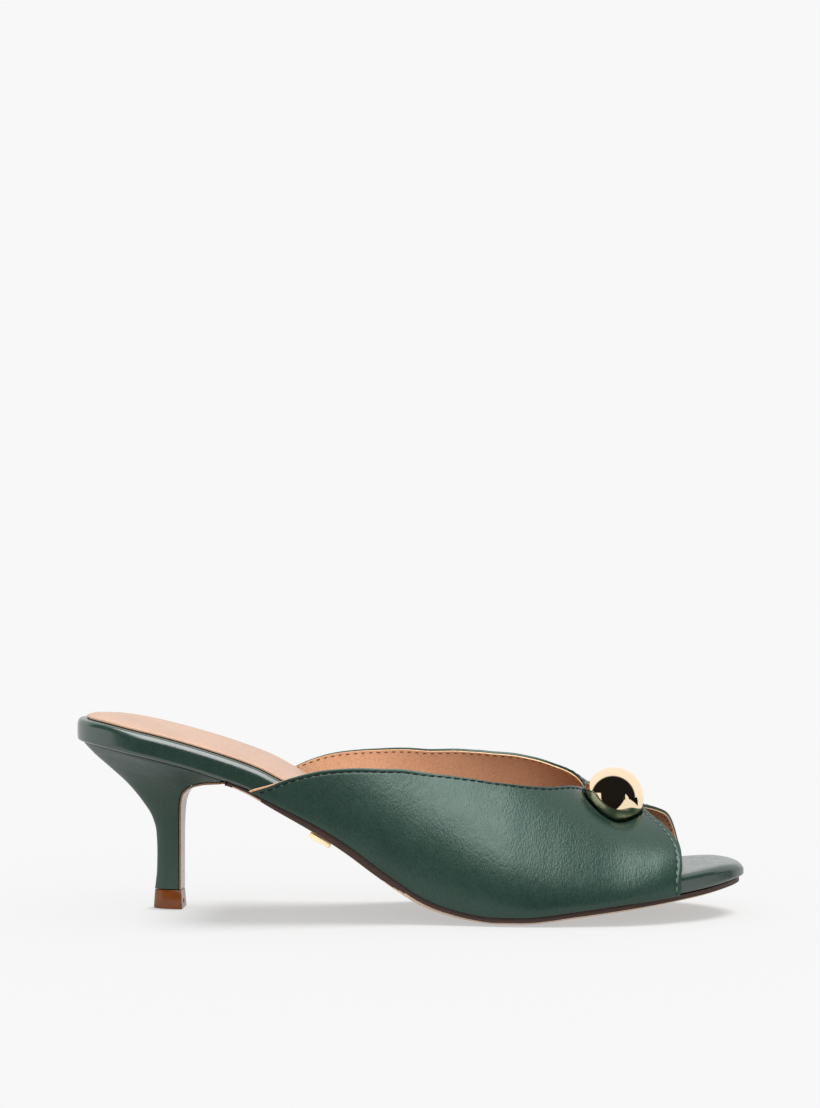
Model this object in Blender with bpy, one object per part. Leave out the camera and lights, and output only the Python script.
"""Right-foot peep-toe mule on a slim heel, as its maker's separate pieces.

Metres, +Z up, toe towards +X, lateral side towards -Y. The pieces are worked out in the last's own frame:
x from the back of the footbed, y from the line through the heel, z from the floor. The parent empty then
puts the middle of the whole shoe over the origin.
"""

from math import acos, atan, cos, exp, hypot, pi, radians, sin, sqrt, tan

import bmesh
import bpy
from mathutils import Matrix, Vector

# Driving sizes of the last and the sole
LENGTH = 0.238
BALL_WIDTH = 0.064
HEEL_HEIGHT = 0.0606
TOE_SPRING = 0.010
SOLE_THICKNESS = 0.0028
GAP = 0.0003

# Footbed and sock
SEAT_BOARD = 0.0080
TOE_BOARD = 0.0067
TOE_NOSE = 0.014
TOE_THINNING = 0.62
SEAT_ROUND = 0.028
TOE_ROUND = 0.060
SOCK_THICKNESS = 0.0011
SOCK_MARGIN = 0.0034
SOCK_END = 0.84

# Outsole
SOLE_SETBACK = 0.0016
SOLE_REACH = 0.0008
SOLE_BEVEL = 0.0048
ARCH_BEVEL = 0.0008
BEVEL_SHARE = 0.43
BREAST_THINNING = 0.42
BREAST_TAPER_LENGTH = 0.040
SETBACK_RUN = 0.030
SETBACK_LEAD = 0.008
BEVEL_STARTS = 0.48
BEVEL_RUN = 0.14

# Heel, its breast flap and its top piece
SEAT_BACK_INSET = 0.0020
BREAST_X = 0.055
SHAFT_BACK_X = 0.0285
SHAFT_FRONT_X = 0.0369
SHAFT_WIDTH = 0.0086
FLAP_THICKNESS = 0.0006
FLAP_OVERHANG = 0.0014
TOP_PIECE_HEIGHT = 0.0067
TOP_PIECE_FLARE = 0.0005

# Upper
WALL = 0.0018
VAMP_HEIGHT = 0.058
VAMP_BULGE = 0.0026
BULGE_LOWNESS = 0.6
THROAT_TURN = 0.47

# Ball ornament and its seat in the strap
BALL_DIAMETER = 0.0212
BALL_BASE_DROP = 0.0075
BALL_RIM = 0.0007
BALL_ALONG = 0.8065
BALL_SIDE = 0.0
BALL_RISE = 0.585
BALL_TILT_SIDE = radians(30)
BALL_TILT_FRONT = radians(21)
SADDLE_SPREAD_REAR = 0.0100
SADDLE_SPREAD_FRONT = 0.0060
SADDLE_SPREAD_ACROSS = 0.0095
SADDLE_SPARE = 0.0020
SADDLE_GAP = 0.0008

# Plain bar under the arch
PLATE_ALONG = 0.379
PLATE_LENGTH = 0.0082
PLATE_WIDTH = 0.0080
PLATE_THICKNESS = 0.0016
PLATE_EDGE_MARGIN = 0.0010

# Underside of the footbed: share of the length, share of the heel's rise, share of the toe spring
SOLE_LINE = (
    (0.000, 1.000, 0.000),
    (0.040, 0.985, 0.000),
    (0.100, 0.937, 0.000),
    (0.170, 0.866, 0.000),
    (0.240, 0.778, 0.000),
    (0.275, 0.722, 0.000),
    (0.310, 0.650, 0.000),
    (0.380, 0.503, 0.000),
    (0.420, 0.400, 0.000),
    (0.456, 0.294, 0.000),
    (0.492, 0.192, 0.000),
    (0.530, 0.098, 0.000),
    (0.562, 0.049, 0.000),
    (0.600, 0.014, 0.000),
    (0.630, 0.000, 0.000),
    (0.670, 0.000, 0.000),
    (0.750, 0.000, 0.200),
    (0.850, 0.000, 0.500),
    (0.930, 0.000, 0.745),
    (1.000, 0.000, 1.000),
)

# Footbed outline before its ends are rounded: share of the length, then the centre line and the width
# as shares of the ball width
OUTLINE = (
    (0.00, 0.000, 0.812),
    (0.10, 0.000, 0.812),
    (0.20, -0.012, 0.805),
    (0.30, -0.027, 0.758),
    (0.40, -0.051, 0.711),
    (0.50, -0.062, 0.766),
    (0.60, -0.051, 0.914),
    (0.66, -0.031, 1.000),
    (0.72, -0.008, 1.022),
    (0.80, 0.020, 0.998),
    (0.88, 0.039, 1.005),
    (0.94, 0.059, 1.000),
    (1.00, 0.078, 0.906),
)

# Vamp sections: share of the length, ridge's side as a share of the ball width, ridge's height as a share
# of the vamp height, fullness of the lateral and the medial quarter, share of the bulge
VAMP = (
    (0.26, 0.000, 1.070, 2.10, 2.2, 0.20),
    (0.35, 0.000, 1.078, 2.05, 2.2, 0.30),
    (0.45, 0.020, 1.093, 2.00, 2.2, 0.60),
    (0.50, 0.032, 1.104, 1.97, 2.2, 0.75),
    (0.55, 0.045, 1.094, 1.95, 2.2, 0.90),
    (0.60, 0.062, 1.056, 1.90, 2.2, 1.00),
    (0.65, 0.080, 0.984, 1.85, 2.2, 1.00),
    (0.69, 0.090, 0.905, 1.80, 2.2, 1.00),
    (0.72, 0.098, 0.828, 1.75, 2.2, 1.00),
    (0.765, 0.105, 0.722, 1.65, 2.2, 1.00),
    (0.81, 0.105, 0.602, 1.60, 2.2, 0.95),
    (0.85, 0.100, 0.506, 1.70, 2.2, 0.80),
    (0.88, 0.100, 0.456, 1.85, 2.2, 0.60),
    (0.92, 0.095, 0.400, 1.95, 2.2, 0.40),
)

# Edges of the upper: turn round the section from that side's feather edge, share of the length
COLLAR_LATERAL = (
    (0.00, 0.277),
    (0.02, 0.299),
    (0.05, 0.327),
    (0.09, 0.368),
    (0.13, 0.411),
    (0.18, 0.463),
    (0.23, 0.521),
    (0.265, 0.588),
    (0.298, 0.667),
    (0.332, 0.712),
    (0.39, 0.751),
    (0.44, 0.765),
    (THROAT_TURN, 0.769),
)
COLLAR_MEDIAL = (
    (0.00, 0.285),
    (0.048, 0.326),
    (0.082, 0.359),
    (0.141, 0.420),
    (0.210, 0.485),
    (0.279, 0.558),
    (0.315, 0.604),
    (0.35, 0.646),
    (0.41, 0.702),
    (0.47, 0.745),
    (0.50, 0.761),
    (1 - THROAT_TURN, 0.769),
)
PEEP_LATERAL = (
    (0.00, 0.898),
    (0.035, 0.900),
    (0.073, 0.900),
    (0.145, 0.902),
    (0.20, 0.901),
    (0.275, 0.893),
    (0.33, 0.881),
    (0.41, 0.858),
    (THROAT_TURN, 0.849),
)
PEEP_MEDIAL = (
    (0.00, 0.916),
    (0.087, 0.914),
    (0.162, 0.908),
    (0.234, 0.903),
    (0.33, 0.895),
    (0.39, 0.888),
    (0.45, 0.873),
    (0.50, 0.856),
    (1 - THROAT_TURN, 0.849),
)

# Heel rings from the shaft's foot to the seat. Back: share of its rise, share of the way back to the seat.
# Front: share of its rise, share of the way forward to the breast. Then share of the widening, and of the
# seat's form
HEEL_RINGS = (
    (0.000, 0.030, 0.000, 0.000, 0.000, 0.0),
    (0.130, 0.004, 0.172, 0.000, 0.000, 0.0),
    (0.247, 0.000, 0.327, 0.000, 0.000, 0.0),
    (0.379, 0.012, 0.470, 0.000, 0.008, 0.0),
    (0.483, 0.068, 0.600, 0.004, 0.030, 0.0),
    (0.598, 0.217, 0.730, 0.018, 0.085, 0.0),
    (0.706, 0.399, 0.830, 0.075, 0.190, 0.05),
    (0.811, 0.627, 0.912, 0.270, 0.400, 0.25),
    (0.913, 0.855, 0.960, 0.600, 0.690, 0.60),
    (0.985, 0.980, 0.985, 1.000, 0.970, 0.95),
    (1.000, 1.000, 1.000, 1.000, 1.000, 1.0),
)

# Edge forms: inset from the outline, share of the thickness. The outsole's insets are shares of its bevel
OUTSOLE_EDGE = ((1.0, 0.0), (0.0, BEVEL_SHARE), (0.0, 1.0))
FOOTBED_EDGE = (
    (0.0016, 0.00),
    (0.0005, 0.07),
    (0.0000, 0.24),
    (0.0000, 0.62),
    (0.0005, 0.84),
    (0.0015, 0.96),
    (0.0030, 1.00),
)
SOCK_EDGE = ((0.0000, 0.0), (0.0000, 0.45), (0.0005, 0.85), (0.0016, 1.0))

# Fineness
SEAT_END_DEPTH = 0.012
TOE_END_DEPTH = 0.018
RUN_STEP = 0.0052
END_STEPS = 7
TURNS_LATERAL = 15
TURNS_STRAP = 22
TURNS_MEDIAL = 16
STRAP_TURNS = (0.34, 0.56)
UPPER_RUNS = 26
HEEL_LEVELS = 17
HEEL_SIDE_STEPS = 14
BALL_SEGMENTS = 32
BALL_RINGS = 12
SLOPE_STEP = LENGTH / 2000
MERGE = 1e-7

# Colour, roughness, metallic
FINISHES = {
    "green_leather": ((0.028, 0.055, 0.047, 1.0), 0.42, 0.0),
    "tan_leather": ((0.76, 0.46, 0.30, 1.0), 0.45, 0.0),
    "sole_leather": ((0.05, 0.022, 0.014, 1.0), 0.50, 0.0),
    "flap_leather": ((0.55, 0.50, 0.44, 1.0), 0.25, 0.0),
    "amber_resin": ((0.30, 0.11, 0.02, 1.0), 0.20, 0.0),
    "gold": ((0.90, 0.66, 0.38, 1.0), 0.08, 1.0),
}


def curve(points):
    """A smooth curve through (place, value) points that never overshoots them, level past both ends."""
    places = [p[0] for p in points]
    values = [p[1] for p in points]
    spans = [b - a for a, b in zip(places, places[1:])]
    rates = [(b - a) / span for a, b, span in zip(values, values[1:], spans)]
    slopes = [rates[0]]
    for before, after in zip(rates, rates[1:]):
        slopes.append(0.0 if before * after <= 0 else 2 * before * after / (before + after))
    slopes.append(rates[-1])

    def value(place):
        if place <= places[0]:
            return values[0]
        if place >= places[-1]:
            return values[-1]
        i = max(k for k, p in enumerate(places) if p <= place)
        u = (place - places[i]) / spans[i]
        start = (1 + 2 * u) * (1 - u) ** 2 * values[i] + u * (1 - u) ** 2 * spans[i] * slopes[i]
        end = u * u * (3 - 2 * u) * values[i + 1] - u * u * (1 - u) * spans[i] * slopes[i + 1]
        return start + end

    return value


def column(rows, index):
    return curve([(row[0], row[index]) for row in rows])


heel_share = column(SOLE_LINE, 1)
spring_share = column(SOLE_LINE, 2)
centre_share = column(OUTLINE, 1)
width_share = column(OUTLINE, 2)
ridge_side = column(VAMP, 1)
ridge_height = column(VAMP, 2)
lateral_fullness = column(VAMP, 3)
medial_fullness = column(VAMP, 4)
bulge_share = column(VAMP, 5)
collar_lateral = column(COLLAR_LATERAL, 1)
collar_medial = column(COLLAR_MEDIAL, 1)
peep_lateral = column(PEEP_LATERAL, 1)
peep_medial = column(PEEP_MEDIAL, 1)


def lerp(a, b, share):
    return a + (b - a) * share


def ease(share):
    """0 to 1 with level ends."""
    share = min(1.0, max(0.0, share))
    return share * share * (3 - 2 * share)


def underside(x):
    """Height of the footbed's underside, which is also where the upper's feather edge ends."""
    share = x / LENGTH
    sole_top = SOLE_THICKNESS + GAP
    return sole_top + heel_share(share) * (HEEL_HEIGHT - sole_top) + spring_share(share) * TOE_SPRING


def slope(x):
    return (underside(x + SLOPE_STEP) - underside(x - SLOPE_STEP)) / (2 * SLOPE_STEP)


def upright(x, thickness):
    """Height that a layer of this thickness takes up where the sole line slopes."""
    return thickness * hypot(1.0, slope(x))


def round_end(distance, depth):
    """Share of the full size left at this distance from an end that is rounded over the depth."""
    if distance >= depth:
        return 1.0
    return sqrt(max(0.0, 1 - (1 - distance / depth) ** 2))


def board_thickness(x):
    """The board is pared down to a soft nose at the toe."""
    nose = lerp(1 - TOE_THINNING, 1.0, round_end(LENGTH - x, TOE_NOSE))
    return lerp(SEAT_BOARD, TOE_BOARD, ease(x / LENGTH)) * nose


def footbed_top(x):
    return underside(x) + upright(x, board_thickness(x))


def half_width(x):
    ends = round_end(x, SEAT_ROUND) * round_end(LENGTH - x, TOE_ROUND)
    return BALL_WIDTH / 2 * width_share(x / LENGTH) * ends


def centre_line(x):
    return BALL_WIDTH * centre_share(x / LENGTH)


def edge(x, side, outward=0.0):
    """The footbed's edge in plan, or a line a true distance outside it; side is -1 lateral, 1 medial."""
    y = centre_line(x) + side * half_width(x)
    if outward == 0.0:
        return y
    rate = (edge(x + SLOPE_STEP, side) - edge(x - SLOPE_STEP, side)) / (2 * SLOPE_STEP)
    return y + side * outward * hypot(1.0, rate)


def stations(start, end, round_start, round_end_depth):
    """Places along the length, closer together where an end is rounded."""
    places = []
    if round_start:
        places += [start + round_start * (1 - cos(pi / 2 * i / END_STEPS)) for i in range(END_STEPS)]
    first = start + round_start
    last = end - round_end_depth
    runs = max(1, round((last - first) / RUN_STEP))
    places += [lerp(first, last, i / runs) for i in range(runs + 1)]
    if round_end_depth:
        places += [last + round_end_depth * sin(pi / 2 * i / END_STEPS) for i in range(1, END_STEPS + 1)]
    return places


def footbed_loop(places):
    """The outline in plan, anticlockwise from above: lateral side to the toe, medial side back."""
    lateral = [Vector((x, edge(x, -1))) for x in places]
    medial = [Vector((x, edge(x, 1))) for x in places]
    return lateral + medial[::-1]


def inset_loop(loop, inset_at):
    """Each point of the loop moved inward, square to the loop, by inset_at(x)."""
    count = len(loop)
    moved = []
    for i, point in enumerate(loop):
        back = i - 1
        while (loop[back] - point).length < MERGE:
            back -= 1
        ahead = (i + 1) % count
        while (loop[ahead] - point).length < MERGE:
            ahead = (ahead + 1) % count
        along = (loop[ahead] - loop[back]).normalized()
        moved.append(point + Vector((-along.y, along.x)) * inset_at(point.x))
    return moved


def material(name):
    found = bpy.data.materials.get(name)
    if found:
        return found
    colour, roughness, metallic = FINISHES[name]
    made = bpy.data.materials.new(name)
    made.use_nodes = True
    shader = made.node_tree.nodes["Principled BSDF"]
    shader.inputs["Base Color"].default_value = colour
    shader.inputs["Roughness"].default_value = roughness
    shader.inputs["Metallic"].default_value = metallic
    made.diffuse_color = colour
    return made


def finish(name, bm, material_name, sharp=40):
    """Turns the built mesh into a named object, shaded smooth with its true corners kept."""
    bmesh.ops.remove_doubles(bm, verts=bm.verts, dist=MERGE)
    bmesh.ops.recalc_face_normals(bm, faces=bm.faces)
    mesh = bpy.data.meshes.new(name)
    bm.to_mesh(mesh)
    bm.free()
    mesh.shade_smooth()
    mesh.set_sharp_from_angle(angle=radians(sharp))
    mesh.materials.append(material(material_name))
    made = bpy.data.objects.new(name, mesh)
    bpy.context.collection.objects.link(made)
    return made


def bridge(bm, first, second, closed=True):
    """Quads between two rows of vertices."""
    count = len(first)
    for i in range(count if closed else count - 1):
        j = (i + 1) % count
        corners = []
        for vert in (first[i], first[j], second[j], second[i]):
            if all((vert.co - other.co).length > MERGE for other in corners):
                corners.append(vert)
        if len(corners) > 2:
            bm.faces.new(corners)


def cap(bm, ring):
    """Quads across a ring whose first half is one side and whose second half comes back along the other."""
    half = len(ring) // 2
    near = ring[:half]
    far = ring[half:][::-1]
    bridge(bm, near, far, closed=False)


def slab(name, loop, edge_form, inset_at, bottom, thickness, material_name, edge_width=lambda x: 1.0):
    """A sheet that follows the sole line, with its edge form run round the loop."""
    bm = bmesh.new()
    rings = []
    for inset, share in edge_form:
        placed = inset_loop(loop, lambda x, extra=inset: inset_at(x) + extra * edge_width(x))
        rings.append([
            bm.verts.new((p.x, p.y, bottom(p.x) + upright(p.x, thickness(p.x)) * share)) for p in placed
        ])
    for lower, upper in zip(rings, rings[1:]):
        bridge(bm, lower, upper)
    cap(bm, rings[0])
    cap(bm, rings[-1])
    return finish(name, bm, material_name)


def make_footbed():
    loop = footbed_loop(stations(0.0, LENGTH, SEAT_END_DEPTH, TOE_END_DEPTH))
    return slab("footbed", loop, FOOTBED_EDGE, lambda x: 0.0, underside, board_thickness, "green_leather")


def make_sock():
    """Insole leather on the footbed, from the seat to under the strap."""
    end = SOCK_END * LENGTH
    loop = footbed_loop(stations(0.0, LENGTH, SEAT_END_DEPTH, TOE_END_DEPTH))
    half = len(loop) // 2
    kept = [i for i in range(half) if loop[i].x <= end]
    short = [loop[i] for i in kept] + [loop[-1 - i] for i in kept[::-1]]
    return slab(
        "sock", short, SOCK_EDGE, lambda x: SOCK_MARGIN,
        lambda x: footbed_top(x) + GAP, lambda x: SOCK_THICKNESS, "tan_leather",
    )


def sole_thickness(x):
    """The sole is skived thin where it turns down over the heel's breast."""
    along = ease((x - outsole_start()) / BREAST_TAPER_LENGTH)
    return SOLE_THICKNESS * lerp(BREAST_THINNING, 1.0, along)


def outsole_start():
    return BREAST_X + FLAP_OVERHANG + GAP


def outsole_inset(x):
    """Set back from the footbed at both ends, and reaching under the upper's wall between them."""
    start = collar_lateral(0.0) * LENGTH
    end = peep_lateral(0.0) * LENGTH
    rear = ease((x - outsole_start()) / (start + SETBACK_LEAD - outsole_start()))
    front = ease((end + SETBACK_LEAD - x) / SETBACK_RUN)
    return lerp(SOLE_SETBACK, -SOLE_REACH, min(rear, front))


def outsole_bottom(x):
    return underside(x) - GAP - upright(x, sole_thickness(x))


def bevel_width(x):
    """Nearly square at the arch, and a wide bevel that sweeps up under the forefoot."""
    return lerp(ARCH_BEVEL, SOLE_BEVEL, ease((x / LENGTH - BEVEL_STARTS) / BEVEL_RUN))


def make_outsole():
    loop = footbed_loop(stations(outsole_start(), LENGTH, 0.0, TOE_END_DEPTH))
    return slab(
        "outsole", loop, OUTSOLE_EDGE, outsole_inset,
        outsole_bottom, sole_thickness, "sole_leather", bevel_width,
    )


def arch_point(x, turn, inset):
    """The vamp before the ball presses it: turn runs from 0 lateral over the ridge to 1 medial."""
    share = x / LENGTH
    base = underside(x)
    ridge_y = centre_line(x) + BALL_WIDTH * ridge_side(share)
    rise = VAMP_HEIGHT * ridge_height(share) - inset
    side = -1 if turn < 0.5 else 1
    fullness = lateral_fullness(share) if side < 0 else medial_fullness(share)
    reach = edge(x, side, GAP + WALL - inset) - ridge_y
    across = abs(cos(pi * turn)) ** (2 / fullness)
    up = sin(pi * turn) ** (2 / fullness) if 0 < turn < 1 else 0.0
    bulge = VAMP_BULGE * bulge_share(share) * sin(pi * up**BULGE_LOWNESS)
    return Vector((x, ridge_y + reach * across + side * bulge, base + rise * up))


def ball_axis():
    return Vector((tan(BALL_TILT_FRONT), -tan(BALL_TILT_SIDE), 1.0)).normalized()


def ball_centre():
    x = BALL_ALONG * LENGTH
    return Vector((x, BALL_SIDE, underside(x) + BALL_RISE * VAMP_HEIGHT))


def pressed(point, centre, axis, inset):
    """The leather drawn down into a saddle that clears the ball's side and carries its base."""
    clear = BALL_DIAMETER / 2 + SADDLE_GAP + inset
    floor = BALL_BASE_DROP + 2 * GAP + inset
    offset = point - centre
    height = offset.dot(axis)
    radial = offset - axis * height
    along = SADDLE_SPREAD_REAR if radial.x < 0 else SADDLE_SPREAD_FRONT
    away = hypot(radial.x / along, radial.y / SADDLE_SPREAD_ACROSS)
    nearby = ease(2 + height / BALL_DIAMETER)
    height -= nearby * (BALL_BASE_DROP + SADDLE_SPARE) * exp(-(away**2))
    offset = radial + axis * height
    if offset.length < clear:
        offset = offset * (clear / offset.length)
        height = offset.dot(axis)
        if height < -floor:
            offset = offset - axis * (height + floor)
    return centre + offset


def edge_places(turn):
    """Where the collar and the peep edge cross this line round the section."""
    if turn <= THROAT_TURN:
        return collar_lateral(turn) * LENGTH, peep_lateral(turn) * LENGTH
    return collar_medial(1 - turn) * LENGTH, peep_medial(1 - turn) * LENGTH


def upper_turns():
    """Lines round the section, closer together over the strap, with one through the two points of the V."""
    low, high = STRAP_TURNS
    parts = ((0.0, low, TURNS_LATERAL), (low, THROAT_TURN, TURNS_STRAP * 2 // 3))
    parts += ((THROAT_TURN, high, TURNS_STRAP // 3), (high, 1.0, TURNS_MEDIAL))
    turns = [lerp(a, b, i / count) for a, b, count in parts for i in range(count)]
    return turns + [1.0]


def make_upper():
    """One hollow band: outer and inner face, joined round the collar, the peep and both feather edges."""
    bm = bmesh.new()
    centre = ball_centre()
    axis = ball_axis()
    faces = []
    for inset in (0.0, WALL):
        grid = []
        for turn in upper_turns():
            start, end = edge_places(turn)
            row = []
            for i in range(UPPER_RUNS + 1):
                point = arch_point(lerp(start, end, i / UPPER_RUNS), turn, inset)
                row.append(bm.verts.new(pressed(point, centre, axis, inset)))
            grid.append(row)
        faces.append(grid)
    outer, inner = faces
    for grid in faces:
        for row, after in zip(grid, grid[1:]):
            bridge(bm, row, after, closed=False)
    for end in (0, -1):
        bridge(bm, outer[end], inner[end], closed=False)
        bridge(bm, [row[end] for row in outer], [row[end] for row in inner], closed=False)
    return finish("upper", bm, "green_leather", sharp=60)


def ball_profile():
    """Radius and height of the ball's half outline: flat base, rounded rim, then the sphere up to its top."""
    radius = BALL_DIAMETER / 2
    corner = (sqrt(radius**2 - BALL_BASE_DROP**2), -BALL_BASE_DROP)
    start = -acos(corner[0] / radius) + BALL_RIM / radius
    on_base = (corner[0] - BALL_RIM, -BALL_BASE_DROP)
    on_ball = (radius * cos(start), radius * sin(start))
    between = tuple((p + q) / 4 + r / 2 for p, q, r in zip(on_base, on_ball, corner))
    sphere = [lerp(start, pi / 2, i / BALL_RINGS) for i in range(1, BALL_RINGS)]
    return [on_base, between, on_ball] + [(radius * cos(a), radius * sin(a)) for a in sphere]


def make_ball():
    """A polished ball with a flat, round-edged base, seated on the strap."""
    bm = bmesh.new()
    turns = [2 * pi * i / BALL_SEGMENTS for i in range(BALL_SEGMENTS)]
    rings = [[bm.verts.new((r * cos(a), r * sin(a), z)) for a in turns] for r, z in ball_profile()]
    for lower, upper in zip(rings, rings[1:]):
        bridge(bm, lower, upper)
    bm.faces.new(rings[0])
    top = bm.verts.new((0, 0, BALL_DIAMETER / 2))
    for a, b in zip(rings[-1], rings[-1][1:] + rings[-1][:1]):
        bm.faces.new((a, b, top))
    made = finish("ball", bm, "gold", sharp=30)
    made.location = ball_centre()
    made.rotation_mode = "QUATERNION"
    made.rotation_quaternion = ball_axis().to_track_quat("Z", "Y")
    return made


def seat_side(share, side):
    """The seat's outline under the footbed, from its back (0) to the breast (1), inset by the wrapped edge."""
    x = lerp(SEAT_BACK_INSET, BREAST_X, share)
    rounded = round_end(x - SEAT_BACK_INSET, SEAT_ROUND)
    width = half_width(x) / round_end(x, SEAT_ROUND) - SEAT_BACK_INSET
    return x, centre_line(x) + side * rounded * width


def heel_columns():
    """One smooth curve for each column of the ring table, along the rings."""
    last = len(HEEL_RINGS) - 1
    return [curve([(i / last, row[k]) for i, row in enumerate(HEEL_RINGS)]) for k in range(6)]


def heel_foot():
    return TOP_PIECE_HEIGHT + GAP


def heel_front(level, columns):
    """The breast's profile in the side view."""
    rise, forward = columns[2](level), columns[3](level)
    x = lerp(SHAFT_FRONT_X, BREAST_X, forward)
    top = underside(BREAST_X) - GAP
    return x, lerp(heel_foot(), top, rise)


def heel_half_width(level, columns):
    return lerp(SHAFT_WIDTH / 2, half_width(BREAST_X) - SEAT_BACK_INSET, columns[4](level))


def heel_ring(level, columns):
    """Ring points from the breast's lateral corner round the back to its medial corner."""
    front_x, front_z = heel_front(level, columns)
    back_top = underside(SEAT_BACK_INSET) - GAP
    back_x = lerp(SHAFT_BACK_X, SEAT_BACK_INSET, columns[1](level))
    back_z = lerp(heel_foot(), back_top, columns[0](level))
    width = heel_half_width(level, columns)
    full_width = heel_half_width(1.0, columns)
    seat = columns[5](level)
    points = []
    for side in (-1, 1):
        steps = range(HEEL_SIDE_STEPS, 0, -1) if side < 0 else range(HEEL_SIDE_STEPS + 1)
        for step in steps:
            turn = pi / 2 * step / HEEL_SIDE_STEPS
            share = 1 - cos(turn)
            x = lerp(back_x, front_x, share)
            y = side * width * sin(turn)
            seat_x, seat_y = seat_side(share, side)
            y = lerp(y, seat_y * width / full_width, seat)
            chord = lerp(back_top, underside(BREAST_X) - GAP, share)
            z = lerp(back_z, front_z, share) + seat * (underside(seat_x) - GAP - chord)
            points.append((x, y, z))
    return points


def ring_cap(bm, ring):
    """Quads across a ring from one side to the other, with a triangle at its back."""
    half = len(ring) // 2
    sides = list(zip(ring[:half], ring[::-1][:half]))
    for (a, b), (c, d) in zip(sides, sides[1:]):
        bm.faces.new((a, c, d, b))
    a, b = sides[-1]
    bm.faces.new((a, ring[half], b))


def make_heel():
    bm = bmesh.new()
    columns = heel_columns()
    rings = [
        [bm.verts.new(point) for point in heel_ring(level / HEEL_LEVELS, columns)]
        for level in range(HEEL_LEVELS + 1)
    ]
    for lower, upper in zip(rings, rings[1:]):
        bridge(bm, lower, upper)
    ring_cap(bm, rings[0])
    ring_cap(bm, rings[-1])
    return finish("heel", bm, "green_leather")


def make_top_piece():
    """The wearing block under the shaft, flaring a little towards the floor."""
    bm = bmesh.new()
    foot = heel_ring(0.0, heel_columns())
    front = max(x for x, y, z in foot) + GAP + FLAP_THICKNESS
    back = min(x for x, y, z in foot)
    middle = (front + back) / 2
    rings = []
    for z, flare in ((0.0, TOP_PIECE_FLARE), (TOP_PIECE_HEIGHT, 0.0)):
        ring = []
        for x, y, _ in foot:
            share = (x - back) / (max(p[0] for p in foot) - back)
            stretched = lerp(back, front, share)
            out_x = flare * (stretched - middle) / ((front - back) / 2)
            out_y = flare * y / (SHAFT_WIDTH / 2)
            ring.append(bm.verts.new((stretched + out_x, y + out_y, z)))
        rings.append(ring)
    bridge(bm, rings[0], rings[1])
    ring_cap(bm, rings[0])
    ring_cap(bm, rings[1])
    return finish("top_piece", bm, "amber_resin")


def make_breast_flap():
    """Sole leather turned down over the front of the heel, from the seat to the top piece."""
    columns = heel_columns()
    last = (len(HEEL_RINGS) - 2) / (len(HEEL_RINGS) - 1)
    count = 2 * HEEL_LEVELS
    path = []
    for i in range(count + 1):
        level = last * i / count
        x, z = heel_front(level, columns)
        path.append((Vector((x, 0, z)), heel_half_width(level, columns)))
    path.append((path[-1][0] + Vector((FLAP_OVERHANG, 0, 0)), path[-1][1]))
    bm = bmesh.new()
    rings = []
    for i, (point, width) in enumerate(path):
        before = path[max(0, i - 1)][0]
        after = path[min(len(path) - 1, i + 1)][0]
        along = (after - before).normalized()
        out = Vector((along.z, 0, -along.x))
        ring = []
        for distance, side in ((GAP, -1), (GAP, 1), (GAP + FLAP_THICKNESS, 1), (GAP + FLAP_THICKNESS, -1)):
            corner = point + out * distance
            ring.append(bm.verts.new((corner.x, side * width, corner.z)))
        rings.append(ring)
    for lower, upper in zip(rings, rings[1:]):
        bridge(bm, lower, upper)
    bm.faces.new(rings[0])
    bm.faces.new(rings[-1])
    return finish("breast_flap", bm, "flap_leather")


def make_sole_plate():
    """A blank gold bar let on to the sole under the arch, by the lateral edge."""
    x = PLATE_ALONG * LENGTH
    bm = bmesh.new()
    size = Matrix.Diagonal((PLATE_LENGTH, PLATE_WIDTH, PLATE_THICKNESS, 1))
    bmesh.ops.create_cube(bm, size=1.0, matrix=size)
    upright_edges = [e for e in bm.edges if abs(e.verts[0].co.z - e.verts[1].co.z) > PLATE_THICKNESS / 2]
    bmesh.ops.bevel(bm, geom=upright_edges, offset=PLATE_THICKNESS / 2, segments=3, affect="EDGES")
    made = finish("sole_plate", bm, "gold", sharp=30)
    tilt = atan(slope(x))
    drop = GAP * 2 + PLATE_THICKNESS / 2
    y = edge(x, -1) + outsole_inset(x) + bevel_width(x) + PLATE_EDGE_MARGIN + PLATE_WIDTH / 2
    made.location = (x + sin(tilt) * drop, y, outsole_bottom(x) - cos(tilt) * drop)
    made.rotation_euler = (0, -tilt, 0)
    return made


def clear_scene():
    for item in list(bpy.data.objects):
        bpy.data.objects.remove(item, do_unlink=True)


def centre_on_origin(pieces):
    """Parents the pieces to an empty that puts their common box's middle over the origin."""
    bpy.context.view_layer.update()
    corners = [piece.matrix_world @ vert.co for piece in pieces for vert in piece.data.vertices]
    low = [min(corner[k] for corner in corners) for k in range(3)]
    high = [max(corner[k] for corner in corners) for k in range(3)]
    shoe = bpy.data.objects.new("shoe", None)
    bpy.context.collection.objects.link(shoe)
    shoe.location = (-(low[0] + high[0]) / 2, -(low[1] + high[1]) / 2, -low[2])
    for piece in pieces:
        piece.parent = shoe


def main():
    clear_scene()
    makers = (
        make_outsole, make_breast_flap, make_heel, make_top_piece, make_footbed,
        make_sock, make_upper, make_ball, make_sole_plate,
    )
    centre_on_origin([make() for make in makers])


main()
